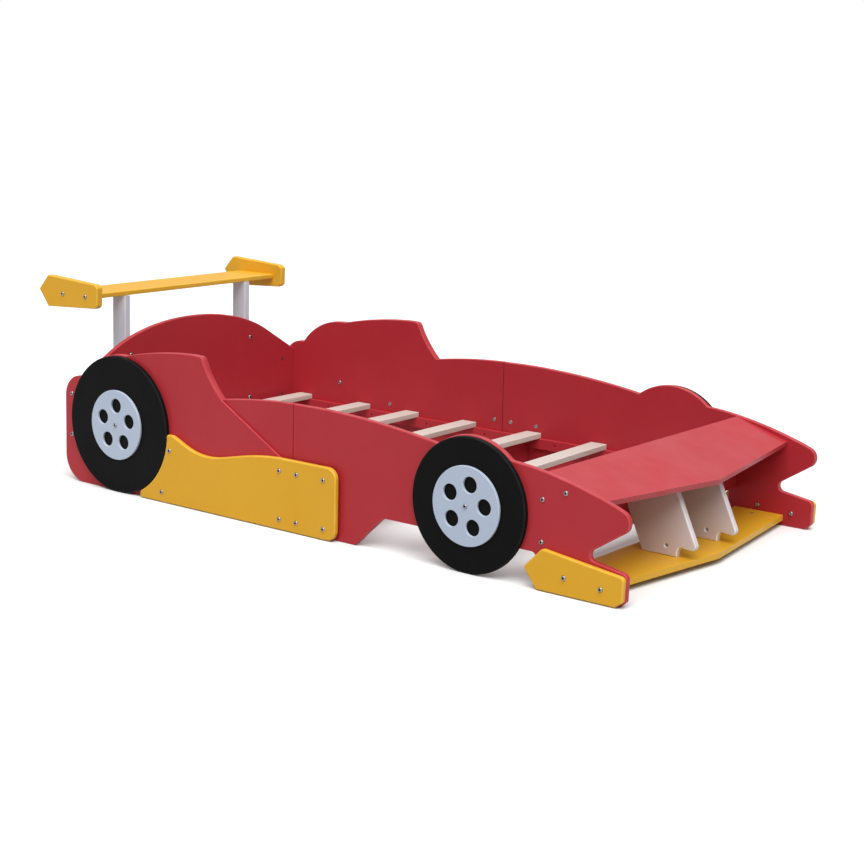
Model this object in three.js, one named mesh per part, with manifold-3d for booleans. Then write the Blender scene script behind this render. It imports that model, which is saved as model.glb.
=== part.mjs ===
// Toddler bed shaped like a racing car: painted board sides with wheel discs, a headboard that
// carries a rear spoiler, a sloping nose deck over a front wing, and a slatted mattress base.
// Millimetres, +Z up, +X towards the nose, the bed's right-hand side at -Y.
// X is drawn from the rear axle and heights from the floor; the last line centres the bed.
import * as THREE from "three";
import { mergeVertices } from "three/addons/utils/BufferGeometryUtils.js";
import Module from "manifold-3d";

const manifold = await Module();
manifold.setup();

// ---------- driving dimensions ----------
const BAY_WIDTH = 768; // between the inner faces of the two sides
const WHEELBASE = 1010;
const TAIL_X = -195; // rear edge of the sides
const NOSE_X = 1377; // tip of the nose
const SEAM_X = 534; // joint between the two halves of a side

const PANEL_T = 12;
const OVERLAY_T = 5;
const SKIRT_T = 12;
const GAP = 0.3; // paint and assembly clearance between two touching boards
const EDGE_R = 1.4; // softened board edges

const REAR_TYRE_R = 161;
const FRONT_TYRE_R = 139.4;
const TYRE_T = 12;
const HUB_R = 82;
const HUB_T = 6;
const HUB_HOLES = 5;
const HUB_HOLE_R = 17;
const HUB_HOLE_PCR = 45.5;
const REAR_HUB_TURN = 89; // degrees, where the first hole of each hub stands
const FRONT_HUB_TURN = 78;
const ARCH_GAP = 1.8; // panel arch outside the tyre

const ROOF_Z = 351;
const SHOULDER_Z = 258; // top of the tail behind the rear fender
const SHOULDER_ANGLE = 143.5; // where the fender's arc rises from the tail, degrees round the axle
const SCREEN_FOOT = [322, 261.5]; // where the windscreen edge meets the rail
const RAIL_TOP_Z = 280;
const BELLY_Z = 71; // underside of the sides behind the front wheel
const LEDGER_TOP_Z = 104;
const LEDGER_H = 25;
const LEDGER_T = 12;
const SLAT_W = 43;
const SLAT_T = 13;
const SLAT_X = [-116, 89, 251, 441, 632, 835, 1004, 1130];
const SLAT_SKEW = [0, 0, 0, 1, 0, 2.2, 0, 0]; // degrees out of square, as laid
const SLAT_END_GAP = 2;

const HEADBOARD_X = -174;
const HEADBOARD_TOP_Z = 361.5;
const HEADBOARD_SIDE_Z = 236;
const CROSS_BOTTOM_Z = 67;
const FOOTBOARD_X = 1181;
const BRACE_X = 609.5;

const DECK_T = 12;
const HOOD_REAR_X = 1182;
const HOOD_REAR_Z = 232.5;
const HOOD_TILT = Math.atan(0.311);
const HOOD_SIDE_X = 1309;
const HOOD_PEAK_X = 1352;
const WING_TOP_Z = 25;
const WING_REAR_X = 1188;
const WING_SIDE_X = 1308;
const WING_PEAK_X = 1357;
const STRUT_T = 15;
const STRUT_Y = 84;

const SPOILER_HALF = 326; // centre of each end plate from the middle
const SPOILER_PLATE_T = 18;
const SPOILER_TOP_Z = 442;
const SPOILER_REAR_X = -306;
const SPOILER_FRONT_X = -184;
const SPOILER_TIP_X = -367; // rear point of the end plates
const SPOILER_T = 12;
const POST_Y = 213;
const POST_W = 17;
const POST_DEPTH = 45;
const POST_LOW_Z = 92;

const BOLT_R = 3;
const BOLT_HEAD_R = 5.3;
const BOLT_HEAD_H = 3;
const BOLT_HOLE_R = BOLT_R + 0.4;
const PLATE_BOLTS = [[1243, 37], [1326, 31]]; // front end plates
const SPOILER_BOLTS = [[-279, 436], [-198, 436]]; // into the ends of the spoiler board
const SPOILER_BOLT_L = 40;

// ---------- derived positions ----------
const INNER_Y = BAY_WIDTH / 2;
const OUTER_Y = INNER_Y + PANEL_T;
const OVERLAY_Y = OUTER_Y + GAP;
const SKIRT_Y = OVERLAY_Y + OVERLAY_T + GAP;
const REAR_AXLE = { x: 0, z: REAR_TYRE_R };
const FRONT_AXLE = { x: WHEELBASE, z: FRONT_TYRE_R };
const HALF_CROSS = INNER_Y - GAP; // half length of every board fitted between the sides

const PAINT = { roughness: 0.42, metalness: 0 };
const red = new THREE.MeshStandardMaterial({ name: "red", color: 0xb3262e, ...PAINT });
const yellow = new THREE.MeshStandardMaterial({ name: "yellow", color: 0xe5a823, ...PAINT });
const black = new THREE.MeshStandardMaterial({ name: "black", color: 0x1b1b1c, roughness: 0.5 });
const silver = new THREE.MeshStandardMaterial({ name: "silver", color: 0xbfcbdc, roughness: 0.38 });
const white = new THREE.MeshStandardMaterial({ name: "white", color: 0xe4e4ea, roughness: 0.45 });
const pine = new THREE.MeshStandardMaterial({ name: "pine", color: 0xe3cfb4, roughness: 0.7 });
const steel = new THREE.MeshStandardMaterial({
  name: "steel", color: 0xb9bdc4, roughness: 0.3, metalness: 1,
});

// ---------- outlines ----------
const rad = THREE.MathUtils.degToRad;

/** Outline of a flat board, drawn corner by corner. */
class Outline {
  constructor() {
    this.path = [];
  }

  /** A corner, rounded by an arc when it has a radius. */
  corner(x, y, r = 0) {
    this.path.push({ p: new THREE.Vector2(x, y), r });
    return this;
  }

  /** An arc about a centre, from one angle to the other in degrees. */
  arc(centre, r, from, to) {
    const steps = Math.max(2, Math.ceil(Math.abs(to - from) / 6));
    for (let i = 0; i <= steps; i++) {
      const a = rad(from + ((to - from) * i) / steps);
      this.corner(centre.x + r * Math.cos(a), centre.z + r * Math.sin(a));
    }
    return this;
  }

  /** A Bezier curve from one point, past one or two control points, to the last. */
  curve(...points) {
    const v = points.map(([x, y]) => new THREE.Vector2(x, y));
    const Curve = v.length === 3 ? THREE.QuadraticBezierCurve : THREE.CubicBezierCurve;
    for (const q of new Curve(...v).getPoints(10)) this.corner(q.x, q.y);
    return this;
  }

  /** All points, with every rounded corner replaced by its arc. */
  points() {
    const n = this.path.length;
    return this.path.flatMap(({ p, r }, i) => {
      if (!r) return [p];
      const before = this.path[(i + n - 1) % n].p.clone().sub(p).normalize();
      const after = this.path[(i + 1) % n].p.clone().sub(p).normalize();
      const half = Math.acos(THREE.MathUtils.clamp(before.dot(after), -1, 1)) / 2;
      const centre = before.clone().add(after).normalize().multiplyScalar(r / Math.sin(half)).add(p);
      const start = before.clone().multiplyScalar(r / Math.tan(half)).add(p).sub(centre);
      const turn = Math.PI - 2 * half;
      const way = Math.sign(before.clone().negate().cross(after));
      const steps = Math.max(2, Math.ceil(turn / rad(15)));
      const origin = new THREE.Vector2();
      return Array.from({ length: steps + 1 }, (_, k) =>
        start.clone().rotateAround(origin, (way * turn * k) / steps).add(centre));
    });
  }

  /** The outline as a shape, with round holes given as [x, y, radius]. */
  shape(holes = []) {
    const points = this.points();
    if (THREE.ShapeUtils.isClockWise(points)) points.reverse();
    const shape = new THREE.Shape(points);
    for (const [x, y, r] of holes) shape.holes.push(roundHole(x, y, r));
    return shape;
  }
}

function roundHole(x, y, r) {
  const steps = r > 8 ? 20 : 10;
  const ring = Array.from({ length: steps }, (_, i) => {
    const a = (-2 * Math.PI * i) / steps;
    return new THREE.Vector2(x + r * Math.cos(a), y + r * Math.sin(a));
  });
  return new THREE.Path([...ring, ring[0].clone()]);
}

function rectangle(x0, y0, x1, y1, r = 0) {
  return new Outline().corner(x0, y0, r).corner(x1, y0, r).corner(x1, y1, r).corner(x0, y1, r);
}

// ---------- solids ----------
/** A flat board of the given thickness, standing on z = 0, with softened edges. */
function board(shape, thickness, edge = EDGE_R) {
  const geometry = new THREE.ExtrudeGeometry(shape, {
    depth: thickness - 2 * edge,
    bevelEnabled: edge > 0,
    bevelThickness: edge,
    bevelSize: edge,
    bevelOffset: -edge,
    bevelSegments: 1,
    curveSegments: 8,
  });
  return geometry.translate(0, 0, edge);
}

function toSolid(geometry) {
  const bare = new THREE.BufferGeometry();
  const flat = geometry.index ? geometry.toNonIndexed() : geometry;
  bare.setAttribute("position", flat.getAttribute("position"));
  const merged = mergeVertices(bare, 1e-3);
  return new manifold.Manifold(new manifold.Mesh({
    numProp: 3,
    vertProperties: merged.attributes.position.array,
    triVerts: new Uint32Array(merged.index.array),
  }));
}

function toGeometry(solid) {
  const mesh = solid.getMesh();
  const geometry = new THREE.BufferGeometry();
  geometry.setAttribute("position", new THREE.BufferAttribute(mesh.vertProperties, mesh.numProp));
  geometry.setIndex(new THREE.BufferAttribute(mesh.triVerts, 1));
  geometry.computeVertexNormals();
  return geometry;
}

function cut(geometry, ...tools) {
  const solid = tools.reduce((left, tool) => left.subtract(toSolid(tool)), toSolid(geometry));
  return toGeometry(solid);
}

function mesh(name, geometry, material) {
  const made = new THREE.Mesh(geometry, material.clone());
  made.name = name;
  return made;
}

/** Board drawn in X and Z, its inner face at distance y from the middle, on side -1 or +1. */
function sideBoard(name, shape, thickness, y, side, material) {
  const made = mesh(name, board(shape, thickness), material);
  made.rotation.x = Math.PI / 2;
  made.position.y = side < 0 ? -y : y + thickness;
  return made;
}

/** Board drawn in Y and Z, standing across the bed with its middle at x. */
function crossBoard(name, shape, thickness, x, material) {
  const made = mesh(name, board(shape, thickness), material);
  made.rotation.set(Math.PI / 2, 0, Math.PI / 2, "ZYX");
  made.position.x = x - thickness / 2;
  return made;
}

/** Board drawn in X and Y, lying with its lower face at z. */
function flatBoard(name, shape, thickness, z, material) {
  const made = mesh(name, board(shape, thickness), material);
  made.position.z = z;
  return made;
}

/** Button-head bolt along Y: the head outside y = 0, the shank running to y = length. */
function boltGeometry(length, farHead) {
  const profile = [
    [0, -BOLT_HEAD_H],
    [BOLT_HEAD_R * 0.55, -BOLT_HEAD_H],
    [BOLT_HEAD_R * 0.85, -BOLT_HEAD_H * 0.65],
    [BOLT_HEAD_R, -0.6],
    [BOLT_HEAD_R, 0],
    [BOLT_R, 0],
    [BOLT_R, length],
  ];
  const end = farHead
    ? [[BOLT_HEAD_R, length], [BOLT_HEAD_R, length + 1.2], [BOLT_HEAD_R * 0.8, length + 2.2]]
    : [];
  const tip = farHead ? length + 2.4 : length + 1;
  const line = [...profile, ...end, [farHead ? 1.2 : BOLT_R * 0.6, tip], [0, tip]];
  const points = line.map(([x, y]) => new THREE.Vector2(x, y));
  const body = new THREE.LatheGeometry(points, 12);
  const socket = new THREE.CylinderGeometry(2.1, 2.1, 4, 6).translate(0, -BOLT_HEAD_H, 0);
  return cut(body, socket);
}

/** A bolt whose head rests on the board face at distance y from the middle. */
function sideBolt(name, x, z, y, side, length, farHead = false) {
  const made = mesh(name, boltGeometry(length, farHead), steel);
  made.position.set(x, side * (y + GAP), z);
  if (side > 0) made.rotation.z = Math.PI;
  return made;
}

// ---------- the two sides ----------
/** Adds the tail, rear fender and roof line up to the windscreen, from the floor upwards. */
function addTail(outline) {
  return outline
    .corner(TAIL_X, 0, 65)
    .corner(TAIL_X, SHOULDER_Z - 1.5, 52)
    .arc(REAR_AXLE, REAR_TYRE_R + 2, SHOULDER_ANGLE, 84.5)
    .curve([24, ROOF_Z - 25], [120, ROOF_Z - 2], [232, ROOF_Z])
    .corner(257, ROOF_Z - 0.8, 11);
}

/** Rear half of a side: tail, roof, windscreen and the low rail up to the seam. */
function rearPanelShape(right) {
  const outline = addTail(new Outline().corner(right, 0))
    .curve([263, 344], [283, 299], SCREEN_FOOT)
    .curve([323, SCREEN_FOOT[1] + 0.2], [438, RAIL_TOP_Z - 1], [right, RAIL_TOP_Z - 0.4]);
  return outline.shape([[REAR_AXLE.x, REAR_AXLE.z, BOLT_HOLE_R]]);
}

/** Front half of a side: rail, arch over the front wheel, nose, mouth and lower lip. */
function frontPanelShape(left) {
  const archR = FRONT_TYRE_R + ARCH_GAP;
  const holes = [[FRONT_AXLE.x, FRONT_AXLE.z, BOLT_HOLE_R]];
  for (const [x, z] of PLATE_BOLTS) holes.push([x, z, BOLT_HOLE_R]);
  return new Outline()
    .corner(left, 0)
    .corner(left, RAIL_TOP_Z - 0.4)
    .curve([590, RAIL_TOP_Z], [740, RAIL_TOP_Z], [919, RAIL_TOP_Z - 28])
    .arc(FRONT_AXLE, archR, 128.2, 48.4)
    .curve([1107, 243.5], [1216, 236], [1345, 192])
    .corner(NOSE_X + 28, 168, 23.5)
    .corner(1293, 96.3, 12)
    .corner(1293, 79.4, 11)
    .corner(NOSE_X, 65.5, 13)
    .corner(NOSE_X - 2, 13, 3)
    .corner(NOSE_X - 16, 0, 3)
    .corner(1186, 0, 4)
    .corner(1168, 28, 4)
    .corner(1168, BELLY_Z, 11)
    .corner(786, BELLY_Z, 14)
    .corner(711, 0, 18)
    .shape(holes);
}

/** Thin rear-quarter board laid on the side, with a tongue that runs on behind the skirt. */
function overlayShape() {
  return addTail(new Outline().corner(655, 0, 8))
    .curve([263, 344], [283, 299], SCREEN_FOOT)
    .corner(503, 158, 4)
    .corner(520, 148, 4)
    .corner(655, 148, 8)
    .shape([[REAR_AXLE.x, REAR_AXLE.z, BOLT_HOLE_R]]);
}

/** Yellow side skirt: follows the rear tyre, dips behind it and runs level to its front end. */
function skirtShape() {
  const r = REAR_TYRE_R + 2;
  return new Outline()
    .corner(670, 1.5, 23)
    .corner(670, 160, 25)
    .corner(510, 160)
    .curve([505, 160], [402, 157.5], [345, 129], [292, 129.5])
    .curve([290, 129.5], [237, 130], [207, 152], [184, 159])
    .corner(180, 161, 3)
    .corner(162.5, 161, 5)
    .arc(REAR_AXLE, r, -4, -58)
    .corner(77, 17)
    .corner(74, 1.5, 5)
    .shape();
}

function frontPlateShape() {
  const outline = new Outline()
    .corner(1148, 42, 6)
    .corner(1179, 1.5, 4)
    .corner(1358, 1.5, 4)
    .corner(1374, 14, 4)
    .corner(1376, 62, 10)
    .corner(1190, 85, 12);
  return outline.shape(PLATE_BOLTS.map(([x, z]) => [x, z, BOLT_HOLE_R]));
}

/** Disc with rounded rims, turned about Y, from y = 0 to its thickness. */
function discGeometry(r, thickness) {
  const e = 2;
  const profile = [
    [BOLT_HOLE_R, 0], [r - e, 0], [r, e], [r, thickness - e], [r - e, thickness],
    [BOLT_HOLE_R, thickness], [BOLT_HOLE_R, 0],
  ];
  return new THREE.LatheGeometry(profile.map(([x, y]) => new THREE.Vector2(x, y)), 60);
}

function hubShape(turn) {
  const disc = new Outline().arc({ x: 0, z: 0 }, HUB_R, 0, 354);
  const holes = [[0, 0, BOLT_HOLE_R]];
  for (let i = 0; i < HUB_HOLES; i++) {
    const a = rad(turn + (360 / HUB_HOLES) * i);
    holes.push([HUB_HOLE_PCR * Math.cos(a), HUB_HOLE_PCR * Math.sin(a), HUB_HOLE_R]);
  }
  return disc.shape(holes);
}

/** Tyre disc, hub disc and centre bolt on the face at distance y from the middle. */
function wheel(name, axle, tyreR, turn, y, side) {
  const group = new THREE.Group();
  const tyre = mesh(`${name}_tyre`, discGeometry(tyreR, TYRE_T), black);
  tyre.position.set(axle.x, side < 0 ? -(y + TYRE_T) : y, axle.z);
  const hubY = y + TYRE_T + GAP;
  const hub = sideBoard(`${name}_hub`, hubShape(turn), HUB_T, hubY, side, silver);
  hub.position.x = axle.x;
  hub.position.z = axle.z;
  const face = hubY + HUB_T;
  const bolt = sideBolt(`${name}_bolt`, axle.x, axle.z, face, side, face - INNER_Y + 2 * GAP, true);
  group.add(tyre, hub, bolt);
  return group;
}

function bedSide(label, side) {
  const group = new THREE.Group();
  group.add(
    sideBoard(`side_rear_${label}`, rearPanelShape(SEAM_X - GAP), PANEL_T, INNER_Y, side, red),
    sideBoard(`side_front_${label}`, frontPanelShape(SEAM_X + GAP), PANEL_T, INNER_Y, side, red),
    sideBoard(`quarter_overlay_${label}`, overlayShape(), OVERLAY_T, OVERLAY_Y, side, red),
    sideBoard(`skirt_${label}`, skirtShape(), SKIRT_T, SKIRT_Y, side, yellow),
    sideBoard(`front_plate_${label}`, frontPlateShape(), PANEL_T, OVERLAY_Y, side, yellow),
    wheel(`rear_wheel_${label}`, REAR_AXLE, REAR_TYRE_R, REAR_HUB_TURN, SKIRT_Y, side),
    wheel(`front_wheel_${label}`, FRONT_AXLE, FRONT_TYRE_R, FRONT_HUB_TURN, OVERLAY_Y, side),
  );
  const plateFace = OVERLAY_Y + PANEL_T;
  PLATE_BOLTS.forEach(([x, z], i) => {
    const length = plateFace - INNER_Y + 2 * GAP;
    group.add(sideBolt(`plate_bolt_${label}_${i + 1}`, x, z, plateFace, side, length, true));
  });
  return group;
}

// ---------- boards across the bed ----------
/** Headboard: level shoulders rising in a flattened arch. */
function headboardShape() {
  const h = HALF_CROSS;
  const z = HEADBOARD_TOP_Z;
  const hip = [275, HEADBOARD_SIDE_Z + (h - 275) * 0.585];
  return new Outline()
    .corner(-h, CROSS_BOTTOM_Z)
    .corner(h, CROSS_BOTTOM_Z)
    .corner(h, HEADBOARD_SIDE_Z)
    .curve(hip, [205, hip[1] + 40], [110, z], [0, z])
    .curve([-4, z], [-110, z], [-205, hip[1] + 40], [-hip[0], hip[1]])
    .corner(-h, HEADBOARD_SIDE_Z)
    .shape();
}

function footboardShape() {
  const top = HOOD_REAR_Z - DECK_T / Math.cos(HOOD_TILT) - 2.3;
  return rectangle(-HALF_CROSS, CROSS_BOTTOM_Z, HALF_CROSS, top).shape();
}

/** Middle brace under the slats, notched round the ledgers at both ends. */
function braceShape() {
  const h = HALF_CROSS;
  const inner = INNER_Y - LEDGER_T - 2 * GAP;
  const low = 20;
  const notch = LEDGER_TOP_Z - LEDGER_H - GAP;
  return new Outline()
    .corner(-h, low)
    .corner(h, low)
    .corner(h, notch)
    .corner(inner, notch)
    .corner(inner, LEDGER_TOP_Z)
    .corner(-inner, LEDGER_TOP_Z)
    .corner(-inner, notch)
    .corner(-h, notch)
    .shape();
}

function ledger(label, x0, x1, side) {
  const shape = rectangle(x0, LEDGER_TOP_Z - LEDGER_H, x1, LEDGER_TOP_Z).shape();
  const y = INNER_Y - GAP - LEDGER_T;
  return sideBoard(label, shape, LEDGER_T, y, side, red);
}

function slat(name, x, skew) {
  const half = INNER_Y - SLAT_END_GAP;
  const shape = rectangle(-SLAT_W / 2, -half, SLAT_W / 2, half).shape();
  const made = flatBoard(name, shape, SLAT_T, LEDGER_TOP_Z + GAP, pine);
  made.position.x = x;
  made.rotation.z = rad(skew);
  return made;
}

function mattressBase() {
  const group = new THREE.Group();
  const head = HEADBOARD_X + PANEL_T / 2 + GAP;
  const foot = FOOTBOARD_X - PANEL_T / 2 - GAP;
  for (const [label, side] of [["right", -1], ["left", 1]]) {
    group.add(
      ledger(`ledger_rear_${label}`, head, SEAM_X - GAP, side),
      ledger(`ledger_front_${label}`, SEAM_X + GAP, foot, side),
    );
  }
  SLAT_X.forEach((x, i) => group.add(slat(`slat_${i + 1}`, x, SLAT_SKEW[i])));
  group.add(
    crossBoard("headboard", headboardShape(), PANEL_T, HEADBOARD_X, red),
    crossBoard("footboard", footboardShape(), PANEL_T, FOOTBOARD_X, red),
    crossBoard("middle_brace", braceShape(), PANEL_T, BRACE_X, red),
  );
  return group;
}

// ---------- nose ----------
/** Deck with a shallow V front edge; x runs from its rear edge. */
function veeShape(sideX, peakX, round) {
  return new Outline()
    .corner(0, -HALF_CROSS, 2)
    .corner(sideX, -HALF_CROSS, 3)
    .corner(peakX, 0, round)
    .corner(sideX, HALF_CROSS, 3)
    .corner(0, HALF_CROSS, 2)
    .shape();
}

/** Leaning grille board between the wing and the hood, cut back over the front of its foot. */
function strutShape() {
  const back = FOOTBOARD_X + PANEL_T / 2 + GAP;
  const lean = 0.45;
  const roof = (x) => HOOD_REAR_Z - (x - HOOD_REAR_X) * Math.tan(HOOD_TILT)
    - DECK_T / Math.cos(HOOD_TILT) - GAP;
  const low = WING_TOP_Z + GAP;
  return new Outline()
    .corner(1227, low)
    .corner(1308, low)
    .curve([1308.5, 35], [1309, 45.5], [1318, 46.5])
    .corner(1332, 44.5)
    .corner(1356, 43.5, 9)
    .corner(1292, roof(1292))
    .corner(back, roof(back))
    .corner(back, low + (1227 - back) / lean)
    .shape([[1283, 46, 3.2]]);
}

function nose() {
  const group = new THREE.Group();
  const hood = new THREE.Group();
  hood.position.set(HOOD_REAR_X, 0, HOOD_REAR_Z);
  hood.rotation.y = HOOD_TILT;
  const run = (x) => (x - HOOD_REAR_X) / Math.cos(HOOD_TILT);
  const deck = veeShape(run(HOOD_SIDE_X), run(HOOD_PEAK_X), 60);
  hood.add(flatBoard("hood", deck, DECK_T, -DECK_T, red));
  for (const [label, side] of [["right", -1], ["left", 1]]) {
    const y0 = side < 0 ? -HALF_CROSS : HALF_CROSS - 20;
    const cleat = rectangle(20, y0, 112, y0 + 20).shape();
    hood.add(flatBoard(`hood_cleat_${label}`, cleat, 20, -DECK_T - GAP - 20, red));
    const batten = rectangle(WING_REAR_X + 10, y0, WING_SIDE_X - 20, y0 + 20).shape();
    group.add(flatBoard(`wing_cleat_${label}`, batten, WING_TOP_Z - DECK_T - GAP - 1, 1, red));
    const inner = STRUT_Y - STRUT_T / 2;
    group.add(sideBoard(`grille_board_${label}`, strutShape(), STRUT_T, inner, side, white));
  }
  const wingDeck = veeShape(WING_SIDE_X - WING_REAR_X, WING_PEAK_X - WING_REAR_X, 60);
  const wing = flatBoard("front_wing", wingDeck, DECK_T, WING_TOP_Z - DECK_T, yellow);
  wing.position.x = WING_REAR_X;
  group.add(hood, wing);
  return group;
}

// ---------- spoiler ----------
function spoilerPlateShape() {
  const outline = new Outline()
    .corner(SPOILER_TIP_X, SPOILER_TOP_Z - 1, 3)
    .corner(-334, 400, 4)
    .corner(-165, 409, 9)
    .corner(-156, 416, 5)
    .corner(-155, 460, 7)
    .corner(-166, 468, 8)
    .corner(-334, 478, 8);
  return outline.shape(SPOILER_BOLTS.map(([x, z]) => [x, z, BOLT_HOLE_R]));
}

function spoiler() {
  const group = new THREE.Group();
  const half = SPOILER_HALF - SPOILER_PLATE_T / 2 - GAP;
  const low = SPOILER_TOP_Z - SPOILER_T;
  const blade = rectangle(SPOILER_REAR_X, -half, SPOILER_FRONT_X, half).shape();
  const drill = [];
  for (const side of [-1, 1]) {
    for (const [x] of SPOILER_BOLTS) {
      drill.push(new THREE.CylinderGeometry(BOLT_HOLE_R, BOLT_HOLE_R, 60, 16)
        .translate(x, side * half, SPOILER_T / 2));
    }
  }
  const bladeMesh = mesh("spoiler_blade", cut(board(blade, SPOILER_T), ...drill), yellow);
  bladeMesh.position.z = low;
  group.add(bladeMesh);
  const plateY = SPOILER_HALF - SPOILER_PLATE_T / 2;
  const postX = HEADBOARD_X - PANEL_T / 2 - GAP;
  for (const [label, side] of [["right", -1], ["left", 1]]) {
    const plate = spoilerPlateShape();
    group.add(sideBoard(`spoiler_plate_${label}`, plate, SPOILER_PLATE_T, plateY, side, yellow));
    const post = rectangle(postX - POST_DEPTH, POST_LOW_Z, postX, low - GAP).shape();
    group.add(sideBoard(`spoiler_post_${label}`, post, POST_W, POST_Y - POST_W / 2, side, white));
    SPOILER_BOLTS.forEach(([x, z], i) => {
      const face = plateY + SPOILER_PLATE_T;
      group.add(sideBolt(`spoiler_bolt_${label}_${i + 1}`, x, z, face, side, SPOILER_BOLT_L));
    });
  }
  return group;
}

// ---------- assembly ----------
const group = new THREE.Group();
group.name = "race_car_toddler_bed";
group.add(bedSide("right", -1), bedSide("left", 1), mattressBase(), nose(), spoiler());
group.position.x = -new THREE.Box3().setFromObject(group, true).getCenter(new THREE.Vector3()).x;

export default group;
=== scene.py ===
"""Toddler bed shaped like a racing car.

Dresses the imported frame: every painted board, wheel disc, slat and bolt is rebuilt with rounded,
finished edges and its own paint, timber or steel, and stands in a plain pale studio.
"""
from __future__ import annotations

import logging
import math
from dataclasses import dataclass, field
from enum import Enum
from typing import Sequence

import bmesh
import bpy
from mathutils import Matrix, Vector
from mathutils.geometry import interpolate_bezier


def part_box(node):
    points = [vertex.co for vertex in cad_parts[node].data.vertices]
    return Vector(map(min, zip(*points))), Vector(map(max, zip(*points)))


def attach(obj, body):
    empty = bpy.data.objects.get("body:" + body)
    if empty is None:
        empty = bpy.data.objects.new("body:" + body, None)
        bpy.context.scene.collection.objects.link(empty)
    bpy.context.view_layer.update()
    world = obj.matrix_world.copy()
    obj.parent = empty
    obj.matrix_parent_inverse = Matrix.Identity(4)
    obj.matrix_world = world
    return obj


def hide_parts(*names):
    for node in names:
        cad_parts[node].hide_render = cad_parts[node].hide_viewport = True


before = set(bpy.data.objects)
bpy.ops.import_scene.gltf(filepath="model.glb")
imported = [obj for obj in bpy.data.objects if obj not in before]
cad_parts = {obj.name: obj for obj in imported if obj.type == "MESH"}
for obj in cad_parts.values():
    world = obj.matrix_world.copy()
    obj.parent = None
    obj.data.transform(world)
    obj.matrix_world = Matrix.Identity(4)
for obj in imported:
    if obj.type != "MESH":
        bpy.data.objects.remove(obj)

MM = 0.001
BODY = "root"
# Face layer of colour marks: edges drawn lighter (partly worn, partly a painted highlight); hex sockets drawn dark
# as painted shade.
WEAR_AND_PAINTED_LIGHT_LAYER = "edge_wear"
RIM_ANGLE = 0.5  # radians between two faces, above which a rim is rounded
HAIRLINE_ANGLE = 0.9
HAIRLINE = 0.5  # mm, chamfer on ends that butt against another board
BUTT_NEAR = 0.05
WELD = 0.03
SMOOTH_ANGLE = math.radians(35)
BOLT_R = 3.0
HEAD_R = 5.3
HEAD_STEP = 3.0  # room under a through bolt's head
CAP_H = 2.0
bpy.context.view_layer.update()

log = logging.getLogger("race_car_bed")

Point = tuple[float, float]
Colour = tuple[float, float, float]
Node = bpy.types.Node
BMesh = bmesh.types.BMesh


class Side(Enum):
    """The two long sides of the bed, named for someone sitting in it."""

    RIGHT = -1
    LEFT = 1

    @property
    def label(self) -> str:
        """Word that the side's pieces carry in their names."""
        return self.name.lower()


class Lie(Enum):
    """How a board lies: the plane that its outline is drawn in."""

    ALONG = "drawn in X and Z, thick in Y"
    ACROSS = "drawn in Y and Z, thick in X"
    FLAT = "drawn in X and Y, thick in Z"


class Head(Enum):
    """Kinds of fastener ends that show on the boards."""

    BUTTON = "domed head with a hexagon socket"
    CAP = "flat round cap nut on the inside of a through bolt"
    DOWEL = "slotted end of a steel cross dowel, flush in the board"
    SCREW = "small countersunk screw with a cross recess"


# --------------------------------------------------------------------------- materials


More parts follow.
